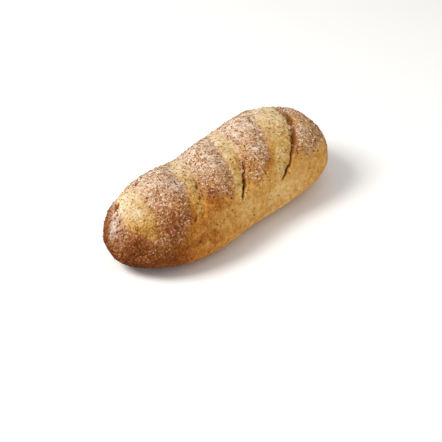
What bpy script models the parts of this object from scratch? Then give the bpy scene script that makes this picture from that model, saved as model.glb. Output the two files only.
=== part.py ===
"""A whole wheat loaf: one solid of bread, slashed across the top and dusted with coarse bran.

Metres, +Z up. The loaf lies along X with its taller, blunter end at +X, and it stands on z = 0.
"""

import math
import random

import bmesh
import bpy
import numpy as np
from mathutils import Matrix, Vector
from mathutils.bvhtree import BVHTree

# The whole loaf. Three sections carry its width and height: near the low end, the waist, and
# near the tall end. The outer two stand at SECTIONS_AT of the half length.
LENGTH = 0.280
SECTIONS_AT = 0.7
HALF_WIDTHS = (0.0641, 0.0564, 0.0658)
HEIGHTS = (0.0856, 0.0737, 0.0927)
BOW = 0.0040  # how far the middle lies off the line through the ends

# How bluntly each end closes, in plan and in side view: a larger power is blunter.
PLAN_POWERS = (2.44, 3.78)
PLAN_ROOT = 1.92
SIDE_POWERS = (3.14, 3.19)
SIDE_ROOT = 1.86

# The section: a superellipse whose widest line lies low, cut off flat where it meets the table.
SECTION_POWER = 2.15
WIDEST_AT = 0.349  # share of the height
UNDERSIDE_DEPTH = 1.136  # of the widest line's height, before the flat foot cuts it
END_DROP = 0.48  # how far the widest line sinks towards the ends

# The slashes, from the low end: where the middle of each crosses the crest, how far it runs along
# X for each radian of turn about the loaf and for each radian squared, how wide it has opened
# along X, and the turns from the crest, negative on the front, at which it ends. The loaf sinks
# by "dip" there, and the crust on the far side of the slash stands up by "lip".
SLASHES = (
    {"x": -0.1170, "lean": 0.012, "bend": 0.009, "opening": 0.0260, "front": -1.05, "back": 1.20,
     "dip": 0.0026, "lip": 0.0010},
    {"x": -0.0480, "lean": 0.027, "bend": 0.0, "opening": 0.0195, "front": -1.10, "back": 1.00,
     "dip": 0.0042, "lip": 0.0014},
    {"x": 0.0090, "lean": 0.030, "bend": 0.0, "opening": 0.0165, "front": -1.10, "back": 1.00,
     "dip": 0.0036, "lip": 0.0016},
    {"x": 0.0792, "lean": 0.039, "bend": 0.0, "opening": 0.0390, "front": -1.21, "back": 1.00,
     "dip": 0.0026, "lip": 0.0022},
)
LENS_POWER = 0.8  # how fully a slash opens before its ends
SHOULDER = 0.011  # how far the crust rolls over beside a slash
PUFF = 0.0014  # how far the crust between two slashes stands out
BAND_DOME = 0.0012  # the torn bread bulges up again inside a slash
LIP_WIDTH = 0.0035

# Cracks: which slash, its stretch in radians from the crest, and its width and depth.
CRACKS = (
    {"slash": 2, "front": -1.06, "back": -0.43, "width": 0.0018, "depth": 0.0042},
    {"slash": 3, "front": -1.19, "back": 0.20, "width": 0.0025, "depth": 0.0060},
)
CRACK_STEPS = 14
CRACK_OVERSHOOT = 0.004  # how far a crack's cutter stands out of the crust

# Slow unevenness of hand-shaped dough, as waves: height, radians per metre along the loaf,
# radians per radian of turn, and where each starts.
LUMP_WAVES = ((0.0013, 38.0, 0.9, 0.05), (0.0006, 61.0, -2.1, 1.7), (0.0008, 23.0, 2.8, 1.7))

# Blisters under the crust. ARC is how far round the crust a radian of turn takes one.
ARC = 0.055
BLISTERS = 70
BLISTER_RADII = (0.0035, 0.0085)
BLISTER_HEIGHTS = (0.0003, 0.0009)
BLISTER_SEED = 3

# The mesh: stations along the loaf and points over each section. The stations lean with the
# slashes, and they stand closer together where a slash's edge or an end needs them.
STATIONS, ROUND_POINTS = 84, 36
STATION_LEAN = 0.75  # of the slashes' own lean
EDGE_CROWDING, EDGE_REACH = 1.3, 0.007
END_CROWDING, END_REACH = 1.5, 0.22

# Coarse bran flakes, the largest of the dusting.
FLAKES = 178
FLAKE_SIDES = 6
FLAKE_RADII = (0.0011, 0.0018)
FLAKE_THICKNESS = 0.0011
FLAKE_SPACING = 0.0062
FLAKE_CLEARANCE = 0.0015  # from the edge of a slash
FLAKE_REACH = 1.05  # no flake lies further down the side than this turn from the crest
FLAKE_SEED = 7

CRUST_COLOUR = (0.50, 0.27, 0.12, 1.0)


def through_three(share, values):
    """The smooth curve through a value at -SECTIONS_AT, 0 and +SECTIONS_AT of the half length."""
    low, middle, high = values
    slope = (high - low) / (2 * SECTIONS_AT)
    bend = (low + high - 2 * middle) / (2 * SECTIONS_AT**2)
    return middle + slope * share + bend * share**2


def closing(share, powers, root):
    """1 along the loaf, falling to 0 at each tip."""
    power = np.where(share < 0, powers[0], powers[1])
    return np.clip(1 - np.abs(share) ** power, 0, 1) ** (1 / root)


def power_of(value, power):
    return np.sign(value) * np.abs(value) ** power


def plain_surface(share, across):
    """Points of the loaf before its slashes. share runs from tip to tip and across from the
    foot's front edge, -1, over the crest to its back edge, 1. Also gives the turn from the crest."""
    height = through_three(share, HEIGHTS)
    plan = closing(share, PLAN_POWERS, PLAN_ROOT)
    side = closing(share, SIDE_POWERS, SIDE_ROOT)
    widest = WIDEST_AT * height * (1 - END_DROP * (1 - side))
    rise = (1 - WIDEST_AT) * height * side
    fall = np.maximum(WIDEST_AT * height * UNDERSIDE_DEPTH * side, 1e-6)
    tuck = np.arcsin(np.clip(widest / fall, 0, 1) ** (SECTION_POWER / 2))
    turn = across * (math.pi / 2 + tuck)
    sideways = power_of(np.sin(turn), 2 / SECTION_POWER)
    upward = power_of(np.cos(turn), 2 / SECTION_POWER)
    x = LENGTH / 2 * share + 0 * across
    y = through_three(share, HALF_WIDTHS) * plan * sideways + BOW * (share**2 - 1 / 3)
    z = np.maximum(widest + np.where(upward > 0, rise, fall) * upward, 0)
    return np.stack([x, y, z], axis=-1), turn


def beside_slash(slash, x, turn):
    """Distance along X from a slash's middle line, and its half opening there."""
    distance = x - slash["x"] - slash["lean"] * turn - slash["bend"] * turn**2
    middle = (slash["front"] + slash["back"]) / 2
    reach = (slash["back"] - slash["front"]) / 2
    lens = np.clip(1 - ((turn - middle) / reach) ** 2, 0, 1) ** LENS_POWER
    return distance, slash["opening"] / 2 * lens


def blisters():
    """Where each blister lies along the loaf and around it, its radius and its height."""
    draw = random.Random(BLISTER_SEED)
    for _ in range(BLISTERS):
        x = draw.uniform(-0.48, 0.48) * LENGTH
        turn = draw.uniform(-1.7, 1.7)
        yield x, turn, draw.uniform(*BLISTER_RADII), draw.uniform(*BLISTER_HEIGHTS)


def relief(x, turn):
    """How far the crust stands out of the plain surface."""
    height = PUFF * np.ones_like(x)
    for slash in SLASHES:
        distance, half = beside_slash(slash, x, turn)
        openness = np.clip(2 * half / slash["opening"], 0, 1)
        outside = np.clip(np.abs(distance) - half, 0, None)
        rolling = np.exp(-((outside / SHOULDER) ** 2))
        height -= (slash["dip"] + PUFF) * rolling * openness
        inside = np.clip(1 - (distance / np.maximum(half, 1e-4)) ** 2, 0, 1)
        height += BAND_DOME * inside * openness
        lip = (distance - half - LIP_WIDTH) / LIP_WIDTH
        height += slash["lip"] * np.exp(-(lip**2)) * openness
    for lump, by_x, by_turn, start in LUMP_WAVES:
        height += lump * np.sin(by_x * x + by_turn * turn + start)
    for at_x, at_turn, radius, rise in blisters():
        away = ((x - at_x) ** 2 + (ARC * (turn - at_turn)) ** 2) / radius**2
        height += rise * np.exp(-away)
    return height


def normals_of(points):
    along = np.gradient(points, axis=0)
    over = np.gradient(points, axis=1)
    normal = np.cross(along, over)
    length = np.linalg.norm(normal, axis=-1, keepdims=True)
    return normal / np.maximum(length, 1e-12)


def crust_surface(share, across):
    """Points of the finished crust over a grid of shares and crossings, with their normals."""
    points, turn = plain_surface(share, across)
    normal = normals_of(points)
    at_foot = np.clip((1 - np.abs(across)) / 0.25, 0, 1)
    at_tips = np.clip((1 - np.abs(share)) / 0.06, 0, 1)
    height = relief(points[..., 0], turn) * at_foot * at_tips
    moved = points + normal * height[..., None]
    moved[..., 2] = np.maximum(moved[..., 2], 0)
    return moved, normal, turn


def stations():
    """Shares of the half length, closer together at slash edges and towards the ends."""
    fine = np.linspace(-1, 1, 2001)
    crowding = 1 + END_CROWDING * np.exp((np.abs(fine) - 1) / END_REACH)
    for slash in SLASHES:
        for side in (-1, 1):
            edge = slash["x"] + side * slash["opening"] / 2
            crowding += EDGE_CROWDING * np.exp(-(((fine * LENGTH / 2 - edge) / EDGE_REACH) ** 2))
    filled = np.cumsum(crowding) - crowding[0]
    return np.interp(np.linspace(0, filled[-1], STATIONS), filled, fine)


def leaning(share, across):
    """The same stations turned to run along the slashes, and straight at the tips and the foot."""
    _, turn = plain_surface(share, across)
    places = [-1] + [slash["x"] / (LENGTH / 2) for slash in SLASHES] + [1]
    leans = [0] + [slash["lean"] for slash in SLASHES] + [0]
    lean = STATION_LEAN * np.interp(share, places, leans) * (1 - across**4)
    return share + lean * np.sin(turn) / (LENGTH / 2)


def ring_of(mesh, row):
    """One section's vertices. Where the underside has lifted off the table it closes on itself."""
    ring = [mesh.verts.new(p) for p in row[:-1]]
    closed = np.linalg.norm(row[0] - row[-1]) < 1e-5
    return ring + [ring[0] if closed else mesh.verts.new(row[-1])]


def tip_of(mesh, side):
    height = through_three(side, HEIGHTS) * WIDEST_AT * (1 - END_DROP)
    return mesh.verts.new((side * LENGTH / 2, BOW * (1 - 1 / 3), height))


def loaf_mesh():
    """The closed crust: a grid over the loaf, a tip at each end and one flat foot."""
    across = np.linspace(-1, 1, ROUND_POINTS)[None, :]
    share = leaning(stations()[1:-1, None], across)
    points, _, _ = crust_surface(share, across)
    mesh = bmesh.new()
    rings = [ring_of(mesh, row) for row in points]
    for first, second in zip(rings, rings[1:]):
        for k in range(ROUND_POINTS - 1):
            mesh.faces.new((first[k], second[k], second[k + 1], first[k + 1]))
    for ring, side in ((rings[0], -1), (rings[-1], 1)):
        tip = tip_of(mesh, side)
        for a, b in zip(ring, ring[1:]):
            mesh.faces.new((a, b, tip))
    standing = [ring for ring in rings if ring[0] is not ring[-1]]
    before = rings[rings.index(standing[0]) - 1]
    after = rings[rings.index(standing[-1]) + 1]
    mesh.faces.new((before[0], standing[0][0], standing[0][-1]))
    mesh.faces.new((after[0], standing[-1][0], standing[-1][-1]))
    mesh.faces.new([r[0] for r in standing] + [r[-1] for r in reversed(standing)])
    bmesh.ops.recalc_face_normals(mesh, faces=mesh.faces)
    return mesh


def object_of(mesh, name, collection):
    data = bpy.data.meshes.new(name)
    mesh.to_mesh(data)
    mesh.free()
    made = bpy.data.objects.new(name, data)
    collection.objects.link(made)
    return made


def surface_point(share, across):
    """One point of the crust, with its normal and the turn from the crest."""
    step = 0.004
    shares = np.array([share - step, share, share + step])[:, None]
    crossings = np.array([across - step, across, across + step])[None, :]
    points, normals, turn = crust_surface(shares, crossings)
    return Vector(points[1, 1]), Vector(normals[1, 1]), float(turn[1, 1])


def point_at(x, turn_wanted):
    """The crust at a distance along the loaf and a turn from the crest."""
    share = 2 * x / LENGTH
    _, full_turn = plain_surface(np.array([[share]]), np.array([[1.0]]))
    point, normal, _ = surface_point(share, turn_wanted / float(full_turn[0, 0]))
    return point, normal


def crack_line(crack):
    """Points and normals along the far edge of the crack's slash, and how open it is at each."""
    slash = SLASHES[crack["slash"]]
    line = []
    for k in range(CRACK_STEPS + 1):
        done = k / CRACK_STEPS
        turn = crack["front"] + (crack["back"] - crack["front"]) * done
        x = slash["x"]
        for _ in range(4):  # settles on the x where the slash's far edge crosses this turn
            point, normal = point_at(x, turn)
            distance, half = beside_slash(slash, point.x, turn)
            x += float(half - distance)
        line.append((point, normal, math.sin(math.pi * done) ** 0.6))
    return line


def crack_cutter(crack, collection):
    """A thin blade with a V section that follows the crack, wider outside than at its root."""
    line = crack_line(crack)
    mesh = bmesh.new()
    rings = []
    for k, (point, normal, openness) in enumerate(line):
        before = line[max(k - 1, 0)][0]
        after = line[min(k + 1, CRACK_STEPS)][0]
        sideways = (after - before).cross(normal).normalized()
        half = crack["width"] / 2 * (0.25 + 0.75 * openness)
        root = point - normal * crack["depth"] * (0.35 + 0.65 * openness)
        rim = point + normal * CRACK_OVERSHOOT
        corners = (root - sideways * half * 0.25, root + sideways * half * 0.25)
        corners += (rim + sideways * half * 1.4, rim - sideways * half * 1.4)
        rings.append([mesh.verts.new(corner) for corner in corners])
    for first, second in zip(rings, rings[1:]):
        for k in range(4):
            mesh.faces.new((first[k], first[(k + 1) % 4], second[(k + 1) % 4], second[k]))
    mesh.faces.new(rings[0])
    mesh.faces.new(rings[-1])
    bmesh.ops.recalc_face_normals(mesh, faces=mesh.faces)
    return object_of(mesh, "crack_cutter", collection)


def in_a_slash(point, turn):
    """Whether a point lies in or near an opened slash, where the dusting has broken away."""
    for slash in SLASHES:
        distance, half = beside_slash(slash, point.x, turn)
        if half > 0 and abs(distance) < half + FLAKE_CLEARANCE:
            return True
    return False


def flake_places(loaf):
    """Places on the dusted crust, spread evenly by refusing any that is too near another."""
    draw = random.Random(FLAKE_SEED)
    facets = BVHTree.FromObject(loaf, bpy.context.evaluated_depsgraph_get())
    found = []
    while len(found) < FLAKES:
        share = draw.uniform(-0.93, 0.95)
        across = draw.uniform(-0.6, 0.6)
        point, normal, turn = surface_point(share, across)
        too_near = any((point - other).length < FLAKE_SPACING for other, _ in found)
        if too_near or abs(turn) > FLAKE_REACH or in_a_slash(point, turn):
            continue
        on_facet, _, _, _ = facets.find_nearest(point)
        found.append((on_facet, normal))
    return found


def add_flake(point, normal, draw, collection):
    """A six-sided flake, thickest in the middle, half sunk in the crust."""
    mesh = bmesh.new()
    radius = draw.uniform(*FLAKE_RADII)
    narrowing = draw.uniform(0.6, 0.95)
    rim = []
    for k in range(FLAKE_SIDES):
        angle = 2 * math.pi * k / FLAKE_SIDES
        uneven = radius * draw.uniform(0.8, 1.1)
        place = (uneven * math.cos(angle), uneven * narrowing * math.sin(angle), 0.00015)
        rim.append(mesh.verts.new(place))
    top = mesh.verts.new((0, 0, FLAKE_THICKNESS / 2))
    bottom = mesh.verts.new((0, 0, -FLAKE_THICKNESS / 2))
    for a, b in zip(rim, rim[1:] + rim[:1]):
        mesh.faces.new((a, b, top))
        mesh.faces.new((b, a, bottom))
    flake = object_of(mesh, "flake", collection)
    turned = normal.to_track_quat("Z", "Y").to_matrix().to_4x4()
    spin = Matrix.Rotation(draw.uniform(0, 2 * math.pi), 4, "Z")
    flake.matrix_world = Matrix.Translation(point) @ turned @ spin


def apply_boolean(target, collection, operation):
    """Cuts or joins every object of the collection, then removes them."""
    modifier = target.modifiers.new(operation.title(), "BOOLEAN")
    modifier.operation = operation
    modifier.operand_type = "COLLECTION"
    modifier.collection = collection
    modifier.solver = "MANIFOLD"
    bpy.context.view_layer.update()
    graph = bpy.context.evaluated_depsgraph_get()
    finished = bpy.data.meshes.new_from_object(target.evaluated_get(graph))
    target.modifiers.clear()
    target.data = finished
    for tool in list(collection.objects):
        bpy.data.objects.remove(tool)
    bpy.data.collections.remove(collection)


def set_on_origin(mesh):
    """Moves the loaf so that the middle of its bounding box's bottom is the origin."""
    corners = np.array([v.co for v in mesh.vertices])
    middle = (corners.min(axis=0) + corners.max(axis=0)) / 2
    mesh.transform(Matrix.Translation((-middle[0], -middle[1], -corners[:, 2].min())))


def crust_material():
    material = bpy.data.materials.new("baked crust")
    material.use_nodes = True
    shader = material.node_tree.nodes["Principled BSDF"]
    shader.inputs["Base Color"].default_value = CRUST_COLOUR
    shader.inputs["Roughness"].default_value = 0.75
    shader.inputs["Metallic"].default_value = 0.0
    return material


def new_collection(name):
    made = bpy.data.collections.new(name)
    bpy.context.scene.collection.children.link(made)
    return made


def build_loaf():
    loaf = object_of(loaf_mesh(), "loaf", bpy.context.scene.collection)
    blades = new_collection("blades")
    for crack in CRACKS:
        crack_cutter(crack, blades)
    apply_boolean(loaf, blades, "DIFFERENCE")
    flakes = new_collection("flakes")
    draw = random.Random(FLAKE_SEED + 1)
    for point, normal in flake_places(loaf):
        add_flake(point, normal, draw, flakes)
    apply_boolean(loaf, flakes, "UNION")
    set_on_origin(loaf.data)
    loaf.data.materials.clear()
    loaf.data.materials.append(crust_material())
    loaf.data.shade_smooth()
    loaf.data.set_sharp_from_angle(angle=math.radians(50))


def main():
    for old in list(bpy.data.objects):
        bpy.data.objects.remove(old)
    build_loaf()


main()
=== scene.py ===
"""A whole wheat loaf as the baker made it: hand-shaped dough, four diagonal slashes that tore open
in the oven, and a dusting of bran and flour that baked onto the crust between them.

Metres, +Z up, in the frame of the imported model. The loaf lies along X, its taller end at +X.
"""

import math
import random

import bmesh
import bpy
import numpy as np
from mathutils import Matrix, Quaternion, Vector, noise


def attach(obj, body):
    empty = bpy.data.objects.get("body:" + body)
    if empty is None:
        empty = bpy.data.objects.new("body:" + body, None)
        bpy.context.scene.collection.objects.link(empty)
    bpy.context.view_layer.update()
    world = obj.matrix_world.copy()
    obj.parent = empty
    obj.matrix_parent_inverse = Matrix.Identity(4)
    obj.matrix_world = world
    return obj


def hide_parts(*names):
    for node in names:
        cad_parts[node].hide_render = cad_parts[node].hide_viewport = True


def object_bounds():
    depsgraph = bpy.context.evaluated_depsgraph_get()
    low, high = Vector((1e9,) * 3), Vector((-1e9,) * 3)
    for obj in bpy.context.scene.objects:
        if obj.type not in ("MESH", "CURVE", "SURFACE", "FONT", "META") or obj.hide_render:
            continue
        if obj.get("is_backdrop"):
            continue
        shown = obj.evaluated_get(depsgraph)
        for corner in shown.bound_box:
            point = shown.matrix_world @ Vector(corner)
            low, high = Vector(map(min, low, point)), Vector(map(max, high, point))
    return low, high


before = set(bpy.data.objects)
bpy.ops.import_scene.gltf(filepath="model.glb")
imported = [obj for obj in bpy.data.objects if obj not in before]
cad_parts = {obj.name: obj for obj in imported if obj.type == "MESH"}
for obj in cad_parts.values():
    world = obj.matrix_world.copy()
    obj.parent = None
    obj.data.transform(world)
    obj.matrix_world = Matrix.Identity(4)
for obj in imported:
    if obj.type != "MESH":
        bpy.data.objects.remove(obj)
CAD_LOW, CAD_HIGH = (np.array(corner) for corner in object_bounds())

MM = 0.001

# The dough's form: three sections give its width and height, and two powers close each end.

LENGTH = 0.280
SECTIONS_AT = 0.7
HALF_WIDTHS = (0.0641, 0.0564, 0.0658)
HEIGHTS = (0.0856, 0.0737, 0.0927)
BOW = 0.0040
MIDDLE = (0.0, -0.0007)  # the middle of the dough's own box, which the frame has at its origin

# How each end closes, the low one first, seen from above and from the side.
PLAN_POWERS = (2.44, 3.78)
PLAN_ROOT = 1.92
SIDE_POWERS = (3.14, 3.19)
SIDE_ROOT = 1.86

SECTION_POWER = 2.15  # 2 is an ellipse, and more is squarer
WIDEST_AT = 0.349  # the height of its widest line, as a share of the whole
UNDERSIDE_DEPTH = 1.136  # the underside would reach that much deeper, if the table didn't cut it
END_DROP = 0.48  # how far the widest line sinks at the tips

# The slashes. x and opening lie along the loaf. lean and bend are metres of x for each radian of
# turn about it and for each radian squared, and front and back are the turns from the crest at
# which a slash ends. soft is how gradually the bran stops at its edge, and baked is how brown the
# opened dough is behind the crest and low down in front.
SLASHES = (
    {"x": -0.1170, "lean": 0.012, "bend": 0.009, "opening": 0.0260, "front": -1.05, "back": 1.20,
     "dip": 0.0026, "lip": 0.0010, "soft": 0.0040, "baked": (0.22, 0.53)},
    {"x": -0.0480, "lean": 0.027, "bend": 0.0, "opening": 0.0195, "front": -1.10, "back": 1.00,
     "dip": 0.0042, "lip": 0.0014, "soft": 0.0034, "baked": (0.28, 0.50)},
    {"x": 0.0090, "lean": 0.030, "bend": 0.0, "opening": 0.0165, "front": -1.10, "back": 1.00,
     "dip": 0.0036, "lip": 0.0016, "soft": 0.0026, "baked": (0.20, 0.47)},
    {"x": 0.0792, "lean": 0.039, "bend": 0.0, "opening": 0.0390, "front": -1.21, "back": 1.00,
     "dip": 0.0026, "lip": 0.0022, "soft": 0.0034, "baked": (0.20, 0.43)},
)
LENS_POWER = 0.8  # a slash's outline in plan: 1 is a parabola, and less is blunter
SLASH_STARTS = (0.02, 0.30)  # how open a slash has to be before its dough shows
SHOULDER = 0.011  # how far the crust rolls over beside a slash
PUFF = 0.0014  # how far the crust between two slashes stands out
BAND_DOME = 0.0012  # the opened dough bulges up again inside a slash
LIP_WIDTH = 0.0035

# Where the far lip of a slash tore away from the crust: a stretch in turns, a width, a depth and
# how far beyond the lip it runs. The last slash tore twice, one tear taking over from the other.
CRACKS = (
    {"slash": 2, "front": -1.16, "back": -0.34, "width": 0.0023, "depth": 0.0052, "beyond": 0.0020},
    {"slash": 3, "front": -0.86, "back": 0.60, "width": 0.0042, "depth": 0.0064, "beyond": 0.0018},
    {"slash": 3, "front": -1.27, "back": -0.50, "width": 0.0026, "depth": 0.0050, "beyond": 0.0004},
)
TEAR_OPENS, TEAR_CLOSES = 0.15, 0.30  # over what turns a tear opens in front and closes behind
TEAR_WANDER = 0.7  # the share of its slash's own wander that it follows
TEAR_NEAR, TEAR_FAR = 0.75, 0.9  # its width towards the bare dough and towards the crust
TEAR_WIDTH, WIDTH_SWING = 0.55, 0.6  # how much of its width it has, and more where it is ragged
TEAR_WIDTHS = (0.4, 1.3)  # and within what limits
RAGGED_LIP = 0.55  # how ragged its lip is, before the unevenness
TEAR_DEPTH, TEAR_DEPTHS = 0.85, (0.55, 1.1)  # how much of its depth it has, and within what limits
RAW_REACH = 1.15  # how far raw crumb shows beyond it, in widths of the tear
RAW_WIDTH, RAW_WIDTHS = 0.5, (0.3, 1.4)
RAW_START = (-0.4 * MM, 0.5 * MM)  # where it starts, from the middle of the tear
RAW_FADES, RAW_ENDS = 0.4, 1.4  # as shares of its reach
RAW_CREST, RAW_BROWNED = (-0.3, 0.1), 0.4  # over the crest that much of it browned again

# Slow unevenness of hand-shaped dough, as waves: height, radians per metre along the loaf,
# radians per radian of turn, and where each starts.
LUMP_WAVES = ((0.0013, 38.0, 0.9, 0.05), (0.0006, 61.0, -2.1, 1.7), (0.0008, 23.0, 2.8, 1.7))

ARC = 0.055  # how far round the crust a radian of turn takes one
BLISTERS = 70  # low ones, under the skin
BLISTER_RADII = (0.0035, 0.0085)
BLISTER_HEIGHTS = (0.0003, 0.0009)
BLISTER_ENDS, BLISTER_TURNS = 0.48, 1.7  # how far along, as a share of the length, and round
BLISTER_SEED = 3

# Small holes torn in the crust: place along the loaf, turn from the crest, radius and depth.
PITS = (
    (-0.1165, 0.66, 0.0042, 0.0026),
    (-0.0475, -0.18, 0.0018, 0.0016),
    (0.0105, 0.10, 0.0017, 0.0012),
    (0.0620, -0.22, 0.0022, 0.0012),
    (0.0870, 0.24, 0.0022, 0.0012),
)

# Short gashes where the skin split: place, turn, half length, half width and depth. They run
# from low on the left to high on the right.
GASHES = (
    (-0.0520, -0.34, 0.0042, 0.0014, 0.0026),
    (-0.0810, -1.00, 0.0042, 0.0012, 0.0021),
    (-0.0620, -0.64, 0.0035, 0.0011, 0.0015),
    (-0.0845, -1.42, 0.0032, 0.0013, 0.0016),
)

# How far down the front the bran reaches: a turn from the crest at places along the loaf, these
# measured along the slashes' slant. Each bump carries its own rounded apron of bran, and the low
# end was rolled in it almost to the table.
BRAN_EDGE = (
    (-0.135, -1.80), (-0.112, -1.66), (-0.095, -1.58), (-0.084, -1.36), (-0.074, -1.12),
    (-0.066, -0.92), (-0.059, -0.55), (-0.048, -0.52), (-0.038, -0.72), (-0.031, -0.80),
    (-0.018, -0.86), (-0.006, -0.88), (0.001, -0.82), (0.009, -0.78), (0.018, -0.92),
    (0.030, -0.94), (0.045, -0.84), (0.055, -0.70), (0.061, -0.42), (0.080, -0.58),
    (0.092, -0.90), (0.107, -1.04), (0.118, -1.14), (0.140, -1.12),
)
BRAN_BELOW_EDGE, BRAN_ABOVE_EDGE = 0.10, 0.20
BRAN_REACH_BACK, BRAN_BACK_FADE = 1.05, 0.25
BRAN_ENDS = (0.108, 0.130)  # where along the loaf its ends begin
BRAN_FEET = (10 * MM, 30 * MM)  # how near the table it comes at the low and the tall end
BRAN_FOOT_FADE = 16 * MM
BRAN_MEAN, BRAN_LEAST = 0.9, 0.3
BRAN_OFF_SLASH, BRAN_OFF_WALL = 0.85, 0.65  # how much of it bared dough and raw crumb have lost

# Where the bran lies thin: place, turn, reach along the loaf, reach in turns and how much is gone.
THIN_BRAN = (
    (0.004, -0.62, 0.012, 0.22, 0.55),
    (-0.078, -0.78, 0.012, 0.22, 0.45),
    (-0.112, -1.35, 0.020, 0.30, 0.45),
    (-0.058, 0.40, 0.010, 0.35, 0.30),
    (-0.104, 0.66, 0.020, 0.36, 0.95),
    (-0.128, 0.60, 0.010, 0.34, 0.35),
    (0.019, -0.20, 0.008, 0.20, 0.50),
)

# How hard each part of the crust baked, 0 pale to 1 nearly black, at places along the loaf: on
# the flank, and over the top. The low end caught the most heat, and low on its flank is painted shade
# too.
BAKED_PLACES = (-0.140, -0.120, -0.104, -0.090, -0.070, -0.045, -0.010, 0.028, 0.070, 0.100, 0.140)
BAKED_AND_SHADED_FLANK = (0.98, 0.82, 0.72, 0.54, 0.47, 0.38, 0.34, 0.27, 0.32, 0.33, 0.40)
BAKED_TOP = (0.74, 0.62, 0.56, 0.52, 0.53, 0.53, 0.50, 0.48, 0.46, 0.44, 0.50)

# Darker and lighter patches: place, turn, reach along the loaf, reach in turns and the change.
SCORCHES = (
    (-0.133, -0.95, 0.010, 0.45, 0.18), (-0.122, -1.18, 0.011, 0.34, -0.23),
    (-0.118, -0.44, 0.008, 0.20, -0.13), (-0.091, -0.80, 0.010, 0.20, 0.14),
    (-0.084, -1.38, 0.007, 0.07, 0.12), (-0.080, -1.28, 0.018, 0.12, -0.08),
    (-0.076, -0.82, 0.009, 0.11, -0.07), (-0.075, -1.35, 0.006, 0.05, 0.14),
    (-0.066, -1.40, 0.006, 0.05, 0.12), (-0.060, 1.45, 0.020, 0.20, 0.12),
    (-0.054, -0.91, 0.017, 0.12, 0.15), (-0.046, -0.66, 0.010, 0.13, 0.28),
    (-0.021, -0.92, 0.005, 0.12, -0.14), (-0.016, -1.30, 0.018, 0.20, -0.08),
    (-0.014, -0.51, 0.012, 0.15, -0.09), (0.010, -0.77, 0.012, 0.17, 0.15),
    (0.012, -1.12, 0.010, 0.26, 0.06), (0.018, 1.60, 0.026, 0.18, 0.10),
    (0.019, -0.20, 0.010, 0.20, -0.12), (0.026, -1.34, 0.022, 0.14, -0.10),
    (0.032, -0.72, 0.012, 0.17, 0.15), (0.041, -1.20, 0.009, 0.12, 0.08),
    (0.052, -0.98, 0.012, 0.07, 0.16), (0.060, -0.50, 0.012, 0.16, -0.06),
    (0.069, -0.82, 0.013, 0.13, 0.18), (0.086, -0.24, 0.012, 0.22, -0.07),
    (0.088, 1.35, 0.016, 0.24, 0.12), (0.092, -1.10, 0.014, 0.16, -0.08),
    (0.092, -1.32, 0.010, 0.10, 0.12), (0.102, -0.50, 0.010, 0.26, -0.11),
)

# Drifts of loose flour that settled on the tops: place, turn and radius.
FLOUR_DRIFTS = (
    (-0.118, -0.12, 0.010), (-0.085, 0.55, 0.016), (-0.072, -0.10, 0.012), (-0.056, 0.50, 0.012),
    (-0.031, -0.04, 0.009), (-0.024, -0.22, 0.008), (-0.018, 0.42, 0.022), (-0.016, 0.07, 0.013),
    (-0.001, 0.20, 0.008), (0.028, -0.38, 0.009), (0.052, 0.14, 0.012), (0.055, 0.48, 0.022),
    (0.085, -0.63, 0.007), (0.108, -0.15, 0.009),
)
DRIFT_FLOUR = 0.9  # how white a drift is at its middle
TOP_FLOUR_AND_SHEEN = 1.05  # the thin veil over the crest and the shoulder behind it: flour, and a painted sheen of the light from behind
FLOUR_RISES, FLOUR_FALLS = (-0.65, 0.60), (0.60, 1.10)  # the turns where it starts and ends
FLOUR_MEAN, FINE_FLOUR_MEAN = 0.8, 0.85
FLOUR_OFF_SLASH = 0.5  # how much of it the opened dough has lost
FLOUR_ENDS = (0.108, 0.127)
FLOUR_FEET, FLOUR_FOOT_FADE = (26 * MM, 42 * MM), 22 * MM  # how low it comes at the two ends
LOW_TIP, LOW_TIP_TURNS, LOW_TIP_BARE = (0.118, 0.130), (0.2, 0.5), 0.6  # rubbed off the low tip
FOOT_FLOUR_AND_HIGHLIGHT = 0.80  # the pale line round the foot: flour from the peel, and a painted highlight on its rim
FOOT_LINE = (0.6 * MM, 3.2 * MM)
BARE_PIT = 1.5 * MM  # a pit this deep has no flour in it

# Where the flanks begin, in turns from the crest, and where the opened dough starts to brown.
FRONT_FLANK, BACK_FLANK = (0.25, 0.95), (0.7, 1.3)
LATE_BROWNING = (-0.6, 0.8)

# Unevenness as smooth random patches: how strong, how large, in how many octaves, where in the
# noise it starts and how it is stretched.
UNEVENNESS = {
    "slash edge": (2.2 * MM, 9 * MM, 3, 0.0, 1),
    "slash edge, fine": (1.0 * MM, 3 * MM, 3, 7.0, 1),
    "torn lip": (0.45, 8 * MM, 3, 17.0, 1),
    "torn lip, fine": (0.2, 2.5 * MM, 3, 0.0, 1),
    "tear depth": (0.8, 13 * MM, 3, 23.0, 1),
    "bran, front edge": (0.13, 14 * MM, 3, 3.0, 1),
    "bran, front edge, fine": (0.05, 4 * MM, 3, 0.0, 1),
    "back edge": (0.30, 20 * MM, 3, 33.0, 1),
    "back edge, fine": (0.12, 5 * MM, 3, 35.0, 1),
    "bran, foot": (7 * MM, 12 * MM, 3, 37.0, 1),
    "bran": (0.5, 9 * MM, 3, 5.0, 1),
    "bran clumps": (1.5, 4.5 * MM, 2, 61.0, 1),
    "bran relief": (0.42 * MM, 3.2 * MM, 3, 31.0, 1),
    "flour": (0.4, 12 * MM, 3, 15.0, 1),
    "flour, fine": (0.5, 5 * MM, 3, 11.0, 1),
    "baking": (0.06, 18 * MM, 3, 9.0, 1),
    "baking, fine": (0.07, 5 * MM, 3, 13.0, 1),
    "opened dough": (0.85 * MM, 7 * MM, 4, 21.0, (1.5, 0.7, 1)),
    "opened dough, fine": (0.3 * MM, 2.6 * MM, 2, 25.0, 1),
    "skin": (0.5 * MM, 14 * MM, 3, 41.0, 1),
    "skin, fine": (0.07 * MM, 2.5 * MM, 2, 51.0, 1),
}
OCTAVE_FALL, OCTAVE_STEP = 1.0, 2.0  # each octave is half as strong and half as large as the last

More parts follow.
